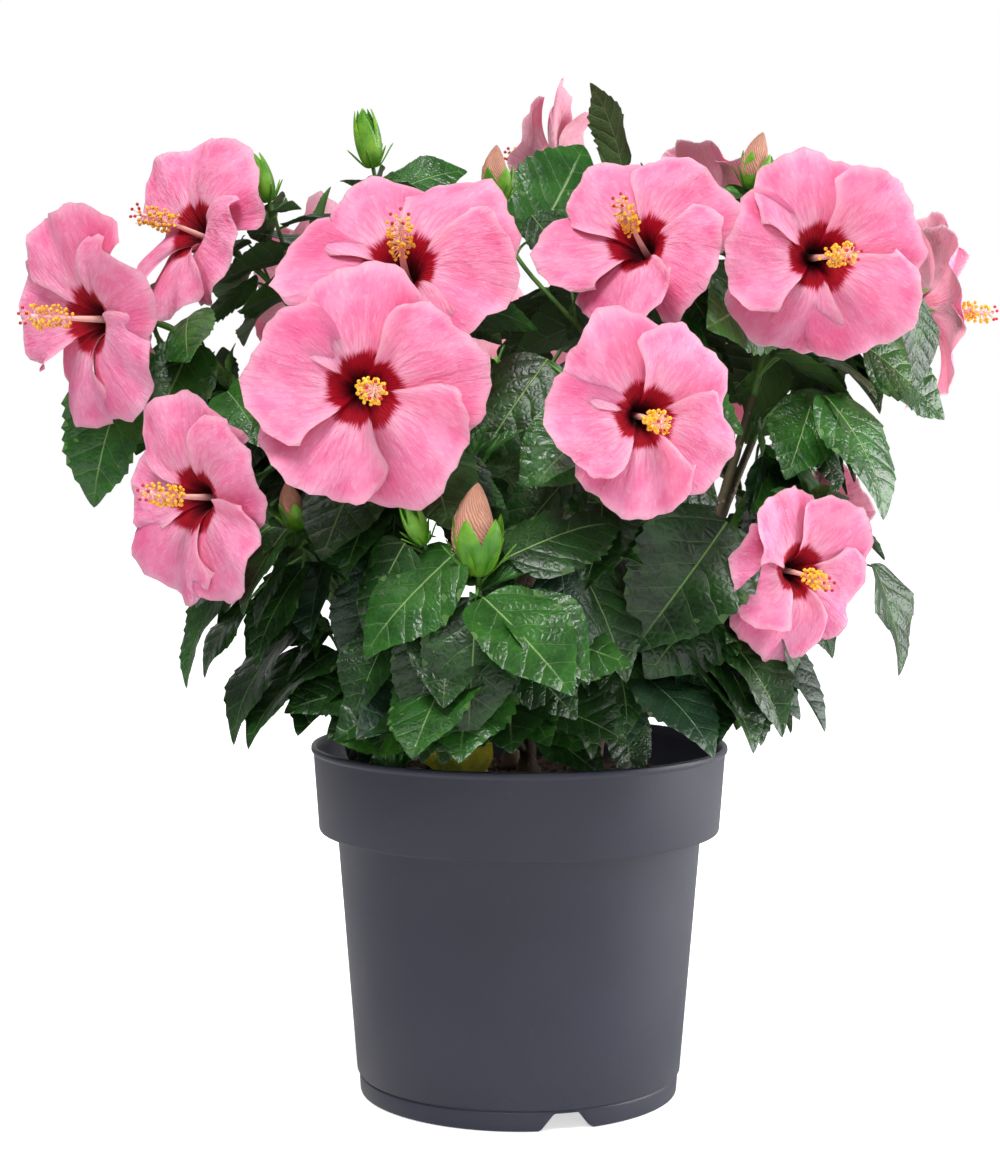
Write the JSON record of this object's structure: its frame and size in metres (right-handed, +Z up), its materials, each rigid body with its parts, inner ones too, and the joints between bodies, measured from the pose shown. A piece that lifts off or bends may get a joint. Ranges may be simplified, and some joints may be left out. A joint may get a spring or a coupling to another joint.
{
  "type": "potted hibiscus shrub",
  "caption": "Bushy pink hibiscus in flower, with dark toothed leaves, in a round dark grey nursery pot with a stepped collar.",
  "frame": {"origin": "middle of the pot's underside, on the floor, on the pot's axis", "axes": "+Z up along the pot's axis, -Y out of the front that the widest blooms face, +X to the right of one who looks at the front"},
  "size_m": [0.539, 0.4167, 0.5645],
  "materials": {
    "pot_plastic": "satin",
    "compost": "rough",
    "bark": "rough",
    "foliage": "satin"
  },
  "bodies": {
    "root": {"pot": "pot_plastic", "compost": "compost", "stem_left": "bark", "stem_front": "bark", "stem_right": "bark", "stem_back": "bark", "bough_far_left": "bark", "bough_upper_left": "bark", "bough_top_left": "bark", "bough_front_left": "bark", "bough_low_left": "bark", "bough_top_middle": "bark", "bough_front_right": "bark", "bough_upper_right": "bark", "bough_far_right": "bark", "bough_low_right": "bark", "bough_top_back": "bark", "bough_back_right_top": "bark", "bough_front_middle": "bark", "bough_skirt_front": "bark", "bough_skirt_right": "bark", "bough_right": "bark", "bough_skirt_left": "bark", "bough_left": "bark", "bough_back_left": "bark", "bough_back_middle": "bark", "bough_back_right": "bark", "bough_back_low_left": "bark", "bough_back_low_right": "bark", "bough_skirt_back": "bark", "shoot_far_left": "foliage", "shoot_upper_left": "foliage", "shoot_top_left": "foliage", "shoot_front_left": "foliage", "shoot_low_left": "foliage", "shoot_top_middle": "foliage", "shoot_front_right": "foliage", "shoot_upper_right": "foliage", "shoot_far_right": "foliage", "shoot_low_right": "foliage", "shoot_top_back": "foliage", "shoot_back_right_top": "foliage", "shoot_front_middle": "foliage", "skirt_front": "foliage", "skirt_right": "foliage", "shoot_right": "foliage", "skirt_left": "foliage", "shoot_left": "foliage", "shoot_back_left": "foliage", "shoot_back_middle": "foliage", "shoot_back_right": "foliage", "shoot_back_low_left": "foliage", "shoot_back_low_right": "foliage", "skirt_back": "foliage"}
  },
  "joints": []
}
